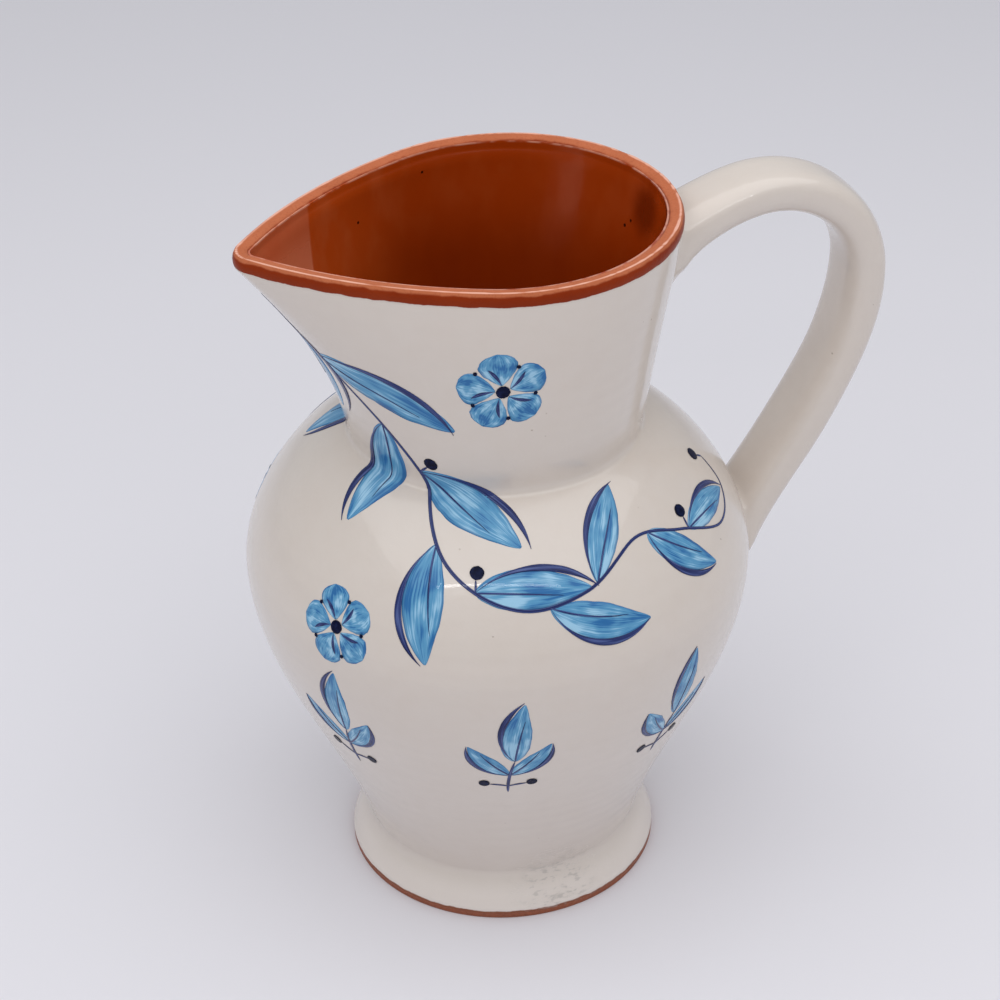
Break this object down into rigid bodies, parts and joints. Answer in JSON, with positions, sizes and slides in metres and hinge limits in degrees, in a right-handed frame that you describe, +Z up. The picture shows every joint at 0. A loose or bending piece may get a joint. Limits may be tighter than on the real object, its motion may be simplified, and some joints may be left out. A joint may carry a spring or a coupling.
{
  "type": "terracotta pouring jug",
  "caption": "Round-bellied terracotta pouring jug with a flared foot, a pulled lip and a strap handle, white glazed outside and clear glazed inside.",
  "frame": {"origin": "centre of the flat underside that the jug stands on", "axes": "+Z up, -X towards the pouring lip, +X towards the handle, Y across; the jug is the same on both sides of the XZ plane"},
  "size_m": [0.2132, 0.1646, 0.2385],
  "materials": {
    "bare_clay": "matte",
    "white_glaze": "gloss",
    "clear_glaze": "gloss"
  },
  "bodies": {
    "root": {"base": "bare_clay", "foot": "white_glaze", "belly": "white_glaze", "neck": "white_glaze", "rim": "bare_clay", "handle": "white_glaze", "lining": "clear_glaze"}
  },
  "joints": []
}
